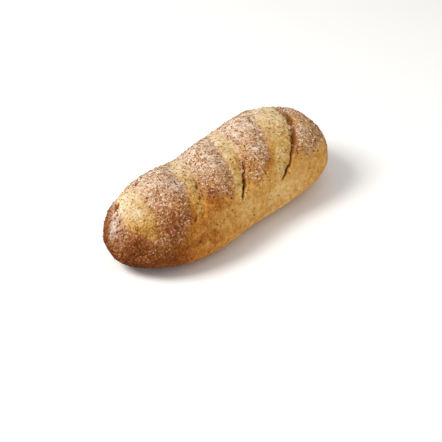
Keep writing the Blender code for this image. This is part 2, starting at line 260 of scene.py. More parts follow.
# The opened dough lies a little lower than the skin, and its pores are deepest at their middles.
OPENED_SINK = 0.7 * MM
PORE_DEPTH, PORE_SPACING, PORE_REACH = 0.7 * MM, 6 * MM, (-0.34, -0.08)

FLAKE_STANDS = 0.5 * MM  # how far the flakes stand out of the crust

# The biggest flakes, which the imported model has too: how many, the least distance between two,
# the furthest turn from the crest, and how far they keep from a slash.
COARSE_FLAKES = 178
COARSE_SPACING = 6.2 * MM
COARSE_REACH = 1.05
COARSE_CLEARANCE = 1.5 * MM
COARSE_SHARES, COARSE_ACROSS = (-0.93, 0.95), (-0.6, 0.6)  # where on the crust one may lie
COARSE_SEED = 7

# The smaller flakes and the flour: how many, and for each kind its lengths, slimness, thicknesses
# and corners, how deep it is pressed in and how far it tilts.
PALE_FLAKES, TOASTED_FLAKES, FLOUR_GRAINS = 7000, 3100, 7000
FLAKE_SHAPES = {
    "coarse_bran": ((2.2 * MM, 3.6 * MM), (0.6, 0.95), (0.8 * MM, 1.0 * MM), 6, 0.5, 0.1),
    "pale_bran": ((1.5 * MM, 3.6 * MM), (0.35, 0.75), (0.25 * MM, 0.5 * MM), 6, 0.3, 0.35),
    "toasted_bran": ((1.0 * MM, 2.4 * MM), (0.35, 0.8), (0.2 * MM, 0.4 * MM), 6, 0.3, 0.35),
    "milled_flour": ((0.35 * MM, 0.8 * MM), (0.7, 1.0), (0.2 * MM, 0.4 * MM), 5, 0.3, 0.35),
}
CORNER_REACH, CURL = (0.72, 1.15), 0.25  # how unevenly a flake broke off and how far it curls
FLAKE_SEED = 5

# Where they lie: in clumps, and thinner behind the crest, with a few astray down the flanks. The
# opened dough has specks, fewer towards the tall end and fewest there low in front.
CLUMP_MEAN, CLUMPS = 0.45, (0.08, 1.5)
BEHIND, THIN_BEHIND, TOASTED_BEHIND = (0.15, 0.55), 0.35, 0.5
FRONT_STRAYS, BACK_STRAYS = (-1.7, -0.9), (1.0, 1.6)
TALL_END, LOW_FRONT, FEWER_SPECKS = (-0.030, 0.020), (0.3, 0.8), 0.7
PALE_ASTRAY, TOASTED_ASTRAY, TOASTED_SPECKS = 0.012, 0.07, 0.13
FLOUR_ON_BRAN, FLOUR_GRAIN_SHARE = 0.15, 1.6

# A flake darkens with the crust under it, painted shade at the low end included, and one astray
# from the dusting toasted further, but less so on the dough that a slash bared late.
FLAKE_DARKENING, DARKENS_FROM = 2.0, 0.5
ASTRAY, ASTRAY_DARKER, LESS_IN_SLASH = (0.2, 0.7), 0.38, 0.23
PALER_IN_SLASH = 0.15  # for the toasted flakes and the flour there

# The crust's mesh, finer over the top and the flanks than under the foot.
ROWS, COLUMNS = 452, 208
FINE_STEPS = 4001
STATION_LEAN = 0.75
END_CROWDING, END_REACH = 1.5, 0.22
EDGE_CROWDING, EDGE_REACH = 1.0, 0.007
TOP_TURN, TOP_EASE, TOP_CROWDING = 0.72, 0.08, 2.4  # how much of a crossing is how much finer
STRAIGHTENING = 4  # the power by which a leaning station straightens towards the foot
FOOT_FADE, TIP_FADE = 0.25, 0.06  # over what shares of the grid the relief dies away
CLOSED = 0.01 * MM  # a row whose two ends are this near has closed under the loaf


def through_three(share, values):
    """The smooth curve through a value at -SECTIONS_AT, 0 and +SECTIONS_AT of the half length."""
    low, middle, high = values
    slope = (high - low) / (2 * SECTIONS_AT)
    bend = (low + high - 2 * middle) / (2 * SECTIONS_AT**2)
    return middle + slope * share + bend * share**2


def closing(share, powers, root):
    """1 along the loaf, falling to 0 at each tip."""
    power = np.where(share < 0, powers[0], powers[1])
    return np.clip(1 - np.abs(share) ** power, 0, 1) ** (1 / root)


def power_of(value, power):
    """A power that keeps the value's sign."""
    return np.sign(value) * np.abs(value) ** power


def smooth(value, low, high):
    """0 below low, 1 above high, and an easy curve between."""
    t = np.clip((value - low) / (high - low), 0, 1)
    return t * t * (3 - 2 * t)


def plain_surface(share, across):
    """Points of the dough before its slashes, and each one's turn from the crest."""
    height = through_three(share, HEIGHTS)
    plan = closing(share, PLAN_POWERS, PLAN_ROOT)
    side = closing(share, SIDE_POWERS, SIDE_ROOT)
    widest = WIDEST_AT * height * (1 - END_DROP * (1 - side))
    rise = (1 - WIDEST_AT) * height * side
    fall = np.maximum(WIDEST_AT * height * UNDERSIDE_DEPTH * side, 1e-6)
    tuck = np.arcsin(np.clip(widest / fall, 0, 1) ** (SECTION_POWER / 2))
    turn = across * (math.pi / 2 + tuck)
    sideways = power_of(np.sin(turn), 2 / SECTION_POWER)
    upward = power_of(np.cos(turn), 2 / SECTION_POWER)
    x = LENGTH / 2 * share + 0 * across
    y = through_three(share, HALF_WIDTHS) * plan * sideways + BOW * (share**2 - 1 / 3)
    z = np.maximum(widest + np.where(upward > 0, rise, fall) * upward, 0)
    return np.stack([x, y, z], axis=-1), turn


def beside_slash(slash, x, turn):
    """Distance along X from a slash's middle line, and its half opening there."""
    distance = x - slash["x"] - slash["lean"] * turn - slash["bend"] * turn**2
    middle = (slash["front"] + slash["back"]) / 2
    reach = (slash["back"] - slash["front"]) / 2
    lens = np.clip(1 - ((turn - middle) / reach) ** 2, 0, 1) ** LENS_POWER
    return distance, slash["opening"] / 2 * lens


def blisters():
    """Each blister's place, turn, radius and height."""
    draw = random.Random(BLISTER_SEED)
    for _ in range(BLISTERS):
        x = draw.uniform(-BLISTER_ENDS, BLISTER_ENDS) * LENGTH
        turn = draw.uniform(-BLISTER_TURNS, BLISTER_TURNS)
        yield x, turn, draw.uniform(*BLISTER_RADII), draw.uniform(*BLISTER_HEIGHTS)


def round_spot(x, turn, at_x, at_turn, radius):
    """1 at a place on the crust, falling away over a radius."""
    return patch(x, turn, at_x, at_turn, radius, radius / ARC)


def dough_relief(x, turn):
    """How far the proved dough stands out of the plain surface: bumps, slashes and lumps."""
    height = PUFF * np.ones_like(x)
    for slash in SLASHES:
        distance, half = beside_slash(slash, x, turn)
        openness = np.clip(2 * half / slash["opening"], 0, 1)
        outside = np.clip(np.abs(distance) - half, 0, None)
        rolling = np.exp(-((outside / SHOULDER) ** 2))
        height -= (slash["dip"] + PUFF) * rolling * openness
        inside = np.clip(1 - (distance / np.maximum(half, 1e-4)) ** 2, 0, 1)
        height += BAND_DOME * inside * openness
        lip = (distance - half - LIP_WIDTH) / LIP_WIDTH
        height += slash["lip"] * np.exp(-(lip**2)) * openness
    for lump, by_x, by_turn, start in LUMP_WAVES:
        height += lump * np.sin(by_x * x + by_turn * turn + start)
    for at_x, at_turn, radius, rise in blisters():
        height += rise * round_spot(x, turn, at_x, at_turn, radius)
    return height


def normals_of(points):
    """Outward normals over a grid of points."""
    along = np.gradient(points, axis=0)
    over = np.gradient(points, axis=1)
    normal = np.cross(along, over)
    length = np.linalg.norm(normal, axis=-1, keepdims=True)
    return normal / np.maximum(length, 1e-12)


def evened(crowding, places, count):
    """count places that stand closer together where crowding is high."""
    filled = np.cumsum(crowding) - crowding[0]
    return np.interp(np.linspace(0, filled[-1], count), filled, places)


def stations():
    """Shares of the half length, closer together at slash edges and towards the ends."""
    fine = np.linspace(-1, 1, FINE_STEPS)
    crowding = 1 + END_CROWDING * np.exp((np.abs(fine) - 1) / END_REACH)
    for slash in SLASHES:
        for side in (-1, 1):
            edge = slash["x"] + side * slash["opening"] / 2
            crowding += EDGE_CROWDING * np.exp(-(((fine * LENGTH / 2 - edge) / EDGE_REACH) ** 2))
    return evened(crowding, fine, ROWS)


def crossings():
    """Places from the foot's front edge over the crest to its back edge."""
    fine = np.linspace(-1, 1, FINE_STEPS)
    crowding = 1 + TOP_CROWDING * (1 - smooth(np.abs(fine), TOP_TURN - TOP_EASE, TOP_TURN + TOP_EASE))
    return evened(crowding, fine, COLUMNS)


def leaning(share, across):
    """The stations turned to run along the slashes, and straight at the tips and the foot."""
    _, turn = plain_surface(share, across)
    places = [-1] + [slash["x"] / (LENGTH / 2) for slash in SLASHES] + [1]
    leans = [0] + [slash["lean"] for slash in SLASHES] + [0]
    lean = STATION_LEAN * np.interp(share, places, leans) * (1 - across**STRAIGHTENING)
    return share + lean * np.sin(turn) / (LENGTH / 2)


def uneven(points, what):
    """One of the patterns of UNEVENNESS over the points, smooth and random about 0."""
    strength, size, octaves, start, stretch = UNEVENNESS[what]
    scaled = points.reshape(-1, 3) * stretch / size + start
    values = [noise.fractal(Vector(p), OCTAVE_FALL, OCTAVE_STEP, octaves) for p in scaled]
    return strength * np.array(values).reshape(points.shape[:-1])


def cells(points, size):
    """Distance to the nearest of many scattered seeds, about 0 to 1, for cells of size metres."""
    values = [noise.voronoi(Vector(p))[0][0] for p in points.reshape(-1, 3) / size]
    return np.array(values).reshape(points.shape[:-1])


def patch(x, turn, at_x, at_turn, reach_x, reach_turn):
    """1 at a place on the crust, falling away over its own reach along the loaf and round it."""
    return np.exp(-(((x - at_x) / reach_x) ** 2) - ((turn - at_turn) / reach_turn) ** 2)


def torn_edges(points, x, turn, wander):
    """Where the slashes opened, how deep their far lips cracked, and the raw wall behind."""
    opened, wall, crack = np.zeros((3,) + x.shape)
    ragged = RAGGED_LIP + uneven(points, "torn lip") + uneven(points, "torn lip, fine")
    deepness = np.clip(TEAR_DEPTH + uneven(points, "tear depth"), *TEAR_DEPTHS)
    for k, slash in enumerate(SLASHES):
        distance, half = beside_slash(slash, x, turn)
        openness = np.clip(2 * half / slash["opening"], 0, 1)
        band = smooth(half + wander - np.abs(distance), -slash["soft"], slash["soft"])
        opened = np.maximum(opened, band * smooth(openness, *SLASH_STARTS))
        for torn in (tear for tear in CRACKS if tear["slash"] == k):
            along = smooth(turn, torn["front"], torn["front"] + TEAR_OPENS)
            along *= 1 - smooth(turn, torn["back"] - TEAR_CLOSES, torn["back"])
            beyond = distance - half + TEAR_WANDER * wander - torn["beyond"]
            width = torn["width"] * np.clip(TEAR_WIDTH + WIDTH_SWING * ragged, *TEAR_WIDTHS)
            gap = np.exp(-((beyond / (np.where(beyond > 0, TEAR_FAR, TEAR_NEAR) * width)) ** 2))
            crack = np.maximum(crack, gap * along * torn["depth"] * deepness)
            reach = RAW_REACH * torn["width"] * np.clip(ragged + RAW_WIDTH, *RAW_WIDTHS)
            raw = smooth(beyond, *RAW_START)
            raw *= 1 - smooth(beyond, RAW_FADES * reach, RAW_ENDS * reach)
            raw *= 1 - RAW_BROWNED * smooth(turn, *RAW_CREST)
            wall = np.maximum(wall, raw * along)
    return opened, wall, crack


def holes_in(x, turn):
    """How deep the small pits and gashes go."""
    depth = np.zeros_like(x)
    for at_x, at_turn, radius, deepest in PITS:
        depth = np.maximum(depth, deepest * round_spot(x, turn, at_x, at_turn, radius))
    for at_x, at_turn, half_length, half_width, deepest in GASHES:
        right, back = x - at_x, ARC * (turn - at_turn)
        along, over = (right + back) / math.sqrt(2), (right - back) / math.sqrt(2)
        split = np.exp(-((along / half_length) ** 2) - (over / half_width) ** 2)
        depth = np.maximum(depth, deepest * split)
    return depth


def bran_cover(points, x, turn):
    """How thickly the bran lies on the bumps."""
    leans = [slash["lean"] for slash in SLASHES]
    slant = np.interp(x, [slash["x"] for slash in SLASHES], leans)
    edge = np.interp(x - slant * turn, *zip(*BRAN_EDGE))
    edge = edge + uneven(points, "bran, front edge") + uneven(points, "bran, front edge, fine")
    cover = smooth(turn, edge - BRAN_BELOW_EDGE, edge + BRAN_ABOVE_EDGE)
    back = turn + uneven(points, "back edge") + uneven(points, "back edge, fine")
    cover *= 1 - smooth(back, BRAN_REACH_BACK - BRAN_BACK_FADE, BRAN_REACH_BACK + BRAN_BACK_FADE)
    height = points[..., 2] + uneven(points, "bran, foot")
    foot = np.where(x < 0, *BRAN_FEET)
    at_end = smooth(height, foot, foot + BRAN_FOOT_FADE)
    cover += (at_end - cover) * smooth(np.abs(x), *BRAN_ENDS)
    for at_x, at_turn, reach_x, reach_turn, gone in THIN_BRAN:
        cover *= 1 - gone * patch(x, turn, at_x, at_turn, reach_x, reach_turn)
    return cover * np.clip(BRAN_MEAN + uneven(points, "bran"), BRAN_LEAST, 1)


def flour_cover(points, x, turn, opened):
    """How thickly flour lies, with painted light in it: flour and painted sheen over the top, drifts on
    it, and flour and a painted highlight round the foot.
    """
    height = points[..., 2]
    back = turn + uneven(points, "back edge")
    # the veil over the top is flour and a painted sheen
    flour = TOP_FLOUR_AND_SHEEN * smooth(turn, *FLOUR_RISES) * (1 - smooth(back, *FLOUR_FALLS))
    flour *= FLOUR_MEAN + uneven(points, "flour")
    for at_x, at_turn, radius in FLOUR_DRIFTS:
        flour = np.maximum(flour, DRIFT_FLOUR * round_spot(x, turn, at_x, at_turn, radius))
    flour *= (FINE_FLOUR_MEAN + uneven(points, "flour, fine")) * (1 - FLOUR_OFF_SLASH * opened)
    foot = np.where(x < 0, *FLOUR_FEET)
    above_foot = smooth(height, foot, foot + FLOUR_FOOT_FADE)
    flour *= 1 - smooth(np.abs(x), *FLOUR_ENDS) * (1 - above_foot)
    flour *= 1 - LOW_TIP_BARE * smooth(-x, *LOW_TIP) * (1 - smooth(turn, *LOW_TIP_TURNS))
    # the line round the foot is flour and a painted highlight on the foot's rim
    return np.maximum(flour, FOOT_FLOUR_AND_HIGHLIGHT * (1 - smooth(height, *FOOT_LINE)))


def baking(points, x, turn, opened):
    """How dark each part baked, and painted shade low on the low end's flank. The slashes opened late,
    so they stayed paler.
    """
    on_flank = smooth(-turn, *FRONT_FLANK) + smooth(turn, *BACK_FLANK)
    # low on the low end's flank this darkness is partly painted shade
    flank = np.interp(x, BAKED_PLACES, BAKED_AND_SHADED_FLANK)
    top = np.interp(x, BAKED_PLACES, BAKED_TOP)
    dark = top + (flank - top) * on_flank
    nearest = np.argmin([np.abs(beside_slash(slash, x, turn)[0]) for slash in SLASHES], axis=0)
    crest, low = np.array([slash["baked"] for slash in SLASHES])[nearest].transpose(2, 0, 1)
    late = crest + (low - crest) * smooth(-turn, *LATE_BROWNING)
    dark = dark + (np.minimum(late, dark) - dark) * opened
    for at_x, at_turn, reach_x, reach_turn, change in SCORCHES:
        dark += change * patch(x, turn, at_x, at_turn, reach_x, reach_turn)
    return dark + uneven(points, "baking") + uneven(points, "baking, fine")


def crust_zones(points, x, turn):
    """What each point of the crust carries: bare dough, bran, flour, cracks and how it baked."""
    wander = uneven(points, "slash edge") + uneven(points, "slash edge, fine")
    opened, wall, crack = torn_edges(points, x, turn, wander)
    pit = holes_in(x, turn)
    cover = bran_cover(points, x, turn)
    flour = flour_cover(points, x, turn, opened)
    return {
        "opened": opened * (1 - wall),
        "bran": cover * (1 - BRAN_OFF_SLASH * opened) * (1 - BRAN_OFF_WALL * wall),
        "wall": wall,
        "crack": crack,
        "pit": pit,
        "flour": np.clip(flour, 0, 1) * (1 - wall) * np.clip(1 - pit / BARE_PIT, 0, 1),
        "baked": np.clip(baking(points, x, turn, opened), 0, 1),
    }


def baked_relief(points, x, turn, zones):
    """The fine relief of the baked crust, on top of the dough's own."""
    opened, bran = zones["opened"], zones["bran"]
    torn = uneven(points, "opened dough") + uneven(points, "opened dough, fine")
    pores = PORE_DEPTH * smooth(-cells(points, PORE_SPACING), *PORE_REACH)
    height = opened * (torn - pores - OPENED_SINK)
    height += bran * uneven(points, "bran relief")
    height += (1 - opened) * uneven(points, "skin")
    height += (1 - opened) * (1 - bran) * uneven(points, "skin, fine")
    return height - zones["crack"] - zones["pit"]


def drawn_in(points):
    """The crust drawn in by a hair, so that it and the flakes on it stay in the model's box."""
    reach = np.abs(points.reshape(-1, 3)).max(axis=0) + FLAKE_STANDS
    return points * np.minimum(1, CAD_HIGH / reach)


def crust_grid():
    """The finished crust's points, their normals and what each carries."""
    across = crossings()[None, :]
    share = leaning(stations()[1:-1, None], across)
    plain, turn = plain_surface(share, across)
    normal = normals_of(plain)
    at_foot = np.clip((1 - np.abs(across)) / FOOT_FADE, 0, 1)
    at_tips = np.clip((1 - np.abs(share)) / TIP_FADE, 0, 1)
    x = plain[..., 0]
    zones = crust_zones(plain, x, turn)
    height = dough_relief(x, turn) + baked_relief(plain, x, turn, zones)
    points = plain + normal * (height * at_foot * at_tips)[..., None]
    points[..., 2] = np.maximum(points[..., 2], 0)
    points[..., :2] -= MIDDLE
    zones["turn"] = turn
    points = drawn_in(points)
    return points, normals_of(points), zones


def closed_faces(rows, columns, lifted):
    """Faces over the grid, a fan to a tip at each end, and one flat foot. In lifted rows the
    underside has closed on itself, so their last point is their first."""
    number = np.arange(rows * columns).reshape(rows, columns)
    number[lifted, -1] = number[lifted, 0]
    near, far = number[:-1], number[1:]
    corners = np.stack([near[:, :-1], far[:, :-1], far[:, 1:], near[:, 1:]], axis=-1)
    faces = corners.reshape(-1, 4).tolist()
    low_tip, high_tip = rows * columns, rows * columns + 1
    low, high = number[[0, -1]].tolist()
    faces += [(a, b, low_tip) for a, b in zip(low, low[1:])]
    faces += [(b, a, high_tip) for a, b in zip(high, high[1:])]
    standing = np.flatnonzero(~lifted)
    first, last = standing[0], standing[-1]
    front, back = number[:, 0].tolist(), number[:, -1].tolist()
    faces.append((front[first - 1], back[first], front[first]))
    faces.append((front[last + 1], front[last], back[last]))
    faces.append([front[k] for k in standing] + [back[k] for k in standing[::-1]])
    return faces


def mesh_piece(name, points, faces, values, material):
    """A smooth-shaded object with one number for each point under each name in values."""
    data = bpy.data.meshes.new(name)
    data.from_pydata([tuple(p) for p in points], [], faces)
    for label, numbers in values.items():
        store = data.attributes.new(label, "FLOAT", "POINT")
        store.data.foreach_set("value", np.asarray(numbers, dtype=np.float32).ravel())
    data.materials.append(material)
    data.shade_smooth()
    piece = bpy.data.objects.new(name, data)
    bpy.context.scene.collection.objects.link(piece)
    return piece


def tidy_normals(piece):
    """Drops the points that no face uses and turns every face outwards."""
    mesh = bmesh.new()
    mesh.from_mesh(piece.data)
    loose = [v for v in mesh.verts if not v.link_faces]
    bmesh.ops.delete(mesh, geom=loose, context="VERTS")
    bmesh.ops.recalc_face_normals(mesh, faces=mesh.faces)
    mesh.to_mesh(piece.data)
    mesh.free()


# Bran and flour, as loose flakes pressed into the crust.

def scatter(grid, weight, count, draw):
    """Random places on the crust, thick where weight is high, with their normals and baking."""
    points, normals, zones = grid
    corner = points[:-1, :-1]
    side_a = points[1:, :-1] - corner
    side_b = points[:-1, 1:] - corner
    area = np.linalg.norm(np.cross(side_a, side_b), axis=-1)
    chance = (area * weight[:-1, :-1]).ravel()
    picked = draw.choice(chance.size, count, p=chance / chance.sum())
    row, column = np.unravel_index(picked, area.shape)
    a, b = draw.random((2, count, 1))
    places = corner[row, column] + a * side_a[row, column] + b * side_b[row, column]
    return places, normals[row, column], zones["shade"][row, column]


def in_a_slash(x, turn):
    """Whether a place lies in or near an opened slash."""
    beside = (beside_slash(slash, x, turn) for slash in SLASHES)
    return any(half > 0 and abs(distance) < half + COARSE_CLEARANCE for distance, half in beside)


def coarse_places(grid):
    """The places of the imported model's own big flakes, with their normals and baking."""
    points, normals, zones = grid
    crust = points.reshape(-1, 3)
    draw = random.Random(COARSE_SEED)
    plain, nearest = [], []
    while len(plain) < COARSE_FLAKES:
        share, across = draw.uniform(*COARSE_SHARES), draw.uniform(*COARSE_ACROSS)
        place, turn = plain_surface(np.array(share), np.array(across))
        too_near = any(np.linalg.norm(place - other) < COARSE_SPACING for other in plain)
        if too_near or abs(turn) > COARSE_REACH or in_a_slash(place[0], turn):
            continue
        plain.append(place)
        centred = place - np.array((*MIDDLE, 0))
        nearest.append(int(np.argmin(((crust - centred) ** 2).sum(axis=1))))
    return crust[nearest], normals.reshape(-1, 3)[nearest], zones["shade"].ravel()[nearest]


def flakes(places, normals, draw, lengths, slimness, thickness, sides, sink, tilt):
    """Closed little flakes: a ring of uneven corners between a top and a bottom point."""
    count = len(places)
    normal = normals + tilt * draw.normal(size=(count, 3))
    normal /= np.linalg.norm(normal, axis=1, keepdims=True)
    helper = draw.normal(size=(count, 3))
    along = np.cross(normal, helper)
    along /= np.linalg.norm(along, axis=1, keepdims=True)
    over = np.cross(normal, along)
    half = draw.uniform(*lengths, size=(count, 1)) / 2
    slim = draw.uniform(*slimness, size=(count, 1))
    thick = draw.uniform(*thickness, size=(count, 1))
    angles = np.linspace(0, 2 * math.pi, sides, endpoint=False)
    reach = draw.uniform(*CORNER_REACH, size=(count, sides))
    curl = draw.uniform(-CURL, CURL, size=(count, sides)) * thick
    middle = places + normals * thick * (0.5 - sink)
    rim_along = (half * reach * np.cos(angles))[..., None] * along[:, None]
    rim_over = (half * slim * reach * np.sin(angles))[..., None] * over[:, None]
    rim = middle[:, None] + rim_along + rim_over + curl[..., None] * normal[:, None]
    top = middle + normal * thick / 2
    bottom = middle - normal * thick / 2
    points = np.concatenate([rim, top[:, None], bottom[:, None]], axis=1)
    ring = np.arange(sides)
    upper = np.stack([ring, (ring + 1) % sides, np.full(sides, sides)], axis=1)
    lower = np.stack([(ring + 1) % sides, ring, np.full(sides, sides + 1)], axis=1)
    one = np.concatenate([upper, lower])
    faces = (one[None] + (np.arange(count) * (sides + 2))[:, None, None]).reshape(-1, 3)
    return points.reshape(-1, 3), faces.tolist(), sides + 2


# Finishes.

# The kinds of node in the finishes: the node, its settings, the sockets that values go to in
# order, and the output that is used.
KINDS = {
    "place": ("ShaderNodeTexCoord", {}, (), "Object"),
    "carried": ("ShaderNodeAttribute", {}, (), "Fac"),
    "noise": ("ShaderNodeTexNoise", {}, ("Vector", "Scale", "Detail", "Roughness"), "Fac"),
    "cells": ("ShaderNodeTexVoronoi", {}, ("Vector", "Scale"), "Distance"),
    "channels": ("ShaderNodeSeparateColor", {}, ("Color",), "Red"),
    "sum": ("ShaderNodeMath", {"operation": "ADD"}, (0, 1), 0),
    "product": ("ShaderNodeMath", {"operation": "MULTIPLY"}, (0, 1), 0),
    "range": ("ShaderNodeMapRange", {}, (0, 1, 2, 3, 4), 0),
    "ramp": ("ShaderNodeValToRGB", {}, ("Fac",), "Color"),
    "mix": ("ShaderNodeMix", {"data_type": "RGBA"}, (0, 6, 7), 2),
    "bump": ("ShaderNodeBump", {}, ("Height", "Distance", "Strength"), "Normal"),
}
USUAL = (0.3, 0.7)  # noise seldom leaves this range

CRUST_IOR = 1.45
POROUS = 0.08  # dry crust is so open that it keeps a sixth of a smooth surface's sheen

BAKING = (  # outer skin as it browns in the oven
    (0.00, "#efdbb4"), (0.18, "#dfb97b"), (0.34, "#cb974d"), (0.50, "#ad6f2e"),
    (0.68, "#85471a"), (0.86, "#66300d"), (1.00, "#4c2309"),
)
LATE_BAKING = (  # dough that a slash bared late, drier and more cream than gold
    (0.00, "#e2d7bb"), (0.15, "#d2bf94"), (0.26, "#c5a972"), (0.38, "#b9934f"),
    (0.52, "#a3722f"), (0.70, "#7f4b1c"), (1.00, "#4c2810"),
)
BRAN_DUST = "#94694a"
CLUMPED_DUST, SCORCHED_CLUMPS = "#cda685", "#a8683a"
BARE_BETWEEN, SCORCHED_BETWEEN = "#6f4427", "#6a3011"
FINE_BRAN, SCORCHED_FINE_BRAN = ("#c08c62", "#e8caab"), "#99602d"
# the flour's white also gives the painted sheen over the top and the painted highlight round the foot
RAW_CRUMB, CRACK_SHADE, PIT_SHADE, FLOUR_AND_HIGHLIGHT_WHITE = "#704324", "#6f3f12", "#7a3f1d", "#ece3d3"

PALE_TONES = ((0.0, "#743c15"), (0.15, "#9a602d"), (0.4, "#be8e60"), (0.7, "#dab997"), (1.0, "#edd9c0"))
TOASTED_TONES = ((0.0, "#5a3216"), (0.5, "#85522b"), (1.0, "#aa7743"))
FLOUR_TONES = ((0.0, "#7e4a20"), (0.3, "#c39a6b"), (0.6, "#e6d2b7"), (1.0, "#f1e6d4"))
FLAKE_FLECK = "#8d5f40"

# The crust's own patterns: size in millimetres, detail, and how rough the detail is.
CRUST_PATTERNS = {
    "blotches": (6.0, 4, 0.55), "speckles": (1.8, 3, 0.55), "crumbs": (2.6, 4, 0.55),
    "flecks": (1.3, 1, 0.55), "clumps": (3.2, 3, 0.55), "raw crumb": (2.5, 4, 0.55),
    "powder": (2.4, 4, 0.55), "dry patches": (5.0, 3, 0.55), "grit": (0.9, 4, 0.65),
}
FINE_BRAN_SIZE = 1.9 * MM
FLAKE_FLECK_SIZE, FLAKE_FLECKED = 0.5 * MM, (0.4, 0.7, 0, 0.3)
GRIT_DEPTH, GRIT_STRENGTH = 0.35 * MM, 0.7

# How the crust's patterns and zones are read: between which two values, and what those give.
READ_AS = {
    "blotches": (*USUAL, -0.08, 0.08),
    "speckles": (*USUAL, -0.5, 0.5),
    "how speckled": (0.35, 0.75, 0.12, 0.32),  # the darker it baked, the more
    "crumbs": (*USUAL, -0.11, 0.11),
    "flecks": (0.62, 0.72, 0, 0.22),
    "dulled by dust": (0.55, 0.8, 0.5, 0),  # except where it baked darkest
    "scorched": (0.55, 0.9),
    "clumps": (0.52, 0.66, 0, 0.50),
    "between clumps": (0.46, 0.34, 0, 0.50),
    "fine bran": (0.62, 0.40),
    "fine bran lies": (0.30, 0.40, 0, 0.75),
    "fine bran burnt": (0.5, 0.85, 0, 0.9),
    "raw crumb": (0.35, 0.65, 0.55, 0.95),
    "down a crack": (0.6 * MM, 3.2 * MM, 0, 0.88),
    "down a pit": (0.3 * MM, 1.8 * MM, 0, 0.85),
    "powder": (0.36, 0.60, 0.45, 1),
    "dry patches": (*USUAL, 0.78, 0.95),
}
PALE_ROUGH, TOASTED_ROUGH, FLOUR_ROUGH = 0.75, 0.7, 0.85


def srgb(code):
    """A sRGB hex colour as linear light."""
    values = [int(code[k:k + 2], 16) / 255 for k in (1, 3, 5)]
    return [v / 12.92 if v <= 0.04045 else ((v + 0.055) / 1.055) ** 2.4 for v in values] + [1.0]


def add(nodes, kind, *values, stops=(), **settings):
    """Adds a node of one of the KINDS and gives its output. The values are plain ones or other
    nodes' outputs, and stops are a colour ramp's places and hex colours."""
    made_as, fixed, sockets, output = KINDS[kind]
    node = nodes.new(made_as)
    for name, value in {**fixed, **settings}.items():
        setattr(node, name, value)
    for socket, value in zip(sockets, values):
        if isinstance(value, bpy.types.NodeSocket):
            nodes.id_data.links.new(value, node.inputs[socket])
        else:
            node.inputs[socket].default_value = value
    for k, (place, code) in enumerate(stops):
        ramp = node.color_ramp.elements
        element = ramp[k] if k < len(ramp) else ramp.new(1.0)
        element.position = place
        element.color = srgb(code)
    return node.outputs[output]


def new_material(name):
    """A material, its nodes and its shader, none of them metal."""
    material = bpy.data.materials.new(name)
    material.use_nodes = True
    nodes = material.node_tree.nodes
    shader = nodes["Principled BSDF"]
    shader.inputs["Metallic"].default_value = 0.0
    return material, nodes, shader


def browned_skin(nodes, zone, pattern):
    """The bare skin's colour, from how hard each part baked and painted shade low on the low end, made
    uneven at four scales.
    """
    blotch = add(nodes, "range", pattern["blotches"], *READ_AS["blotches"])
    speckle = add(nodes, "range", pattern["speckles"], *READ_AS["speckles"])
    speckled = add(nodes, "range", zone["baked"], *READ_AS["how speckled"])
    crumb = add(nodes, "range", pattern["crumbs"], *READ_AS["crumbs"])
    # toasted flecks of bran inside the dough, drawn a little coarser than the milled bran
    fleck = add(nodes, "range", pattern["flecks"], *READ_AS["flecks"])
    baked = add(nodes, "sum", zone["baked"], blotch)
    baked = add(nodes, "sum", baked, add(nodes, "product", speckled, speckle))
    baked = add(nodes, "sum", baked, add(nodes, "product", zone["opened"], crumb))
    baked = add(nodes, "sum", baked, fleck)
    browned = add(nodes, "ramp", baked, stops=BAKING)
    late = add(nodes, "ramp", baked, stops=LATE_BAKING)
    return add(nodes, "mix", zone["opened"], browned, late)


def dusted(nodes, zone, pattern, place, colour):
    """Bran dust over the skin's colour, and the bran that is too fine to be a flake of its own."""
    dulled = add(nodes, "range", zone["baked"], *READ_AS["dulled by dust"])
    dulled = add(nodes, "product", zone["bran"], dulled)
    colour = add(nodes, "mix", dulled, colour, srgb(BRAN_DUST))
    # where it lies in clumps it is paler, and between them the skin shows dark
    scorched = add(nodes, "range", zone["baked"], *READ_AS["scorched"])
    for clumps, tones in (("clumps", (CLUMPED_DUST, SCORCHED_CLUMPS)),
                          ("between clumps", (BARE_BETWEEN, SCORCHED_BETWEEN))):
        clumped = add(nodes, "range", pattern["clumps"], *READ_AS[clumps])
        tone = add(nodes, "mix", scorched, *map(srgb, tones))
        colour = add(nodes, "mix", add(nodes, "product", zone["bran"], clumped), colour, tone)

    bit = add(nodes, "cells", place, 1 / FINE_BRAN_SIZE)
    chance = add(nodes, "channels", bit.node.outputs["Color"])
    tone = add(nodes, "mix", chance, *map(srgb, FINE_BRAN))
    burnt = add(nodes, "range", zone["baked"], *READ_AS["fine bran burnt"])
    tone = add(nodes, "mix", burnt, tone, srgb(SCORCHED_FINE_BRAN))
    missing = add(nodes, "product", chance.node.outputs["Green"], -1.0)
    lies = add(nodes, "sum", zone["bran"], missing)
    lies = add(nodes, "range", lies, *READ_AS["fine bran lies"])
    shows = add(nodes, "product", add(nodes, "range", bit, *READ_AS["fine bran"]), lies)
    return add(nodes, "mix", shows, colour, tone)


def torn_and_floured(nodes, zone, pattern, colour):
    """Raw crumb behind the cracks, the painted shade down in cracks and pits, and flour over it all,
    with a painted sheen on the top and a painted highlight round the foot.
    """
    crumb = add(nodes, "range", pattern["raw crumb"], *READ_AS["raw crumb"])
    powder = add(nodes, "range", pattern["powder"], *READ_AS["powder"])
    layers = (
        (add(nodes, "product", zone["wall"], crumb), RAW_CRUMB),
        (add(nodes, "range", zone["crack"], *READ_AS["down a crack"]), CRACK_SHADE),
        (add(nodes, "range", zone["pit"], *READ_AS["down a pit"]), PIT_SHADE),
        # flour, with a painted sheen on the top and a painted highlight round the foot
        (add(nodes, "product", zone["flour"], powder), FLOUR_AND_HIGHLIGHT_WHITE),
    )
    for share, tone in layers:
        colour = add(nodes, "mix", share, colour, srgb(tone))
    return colour


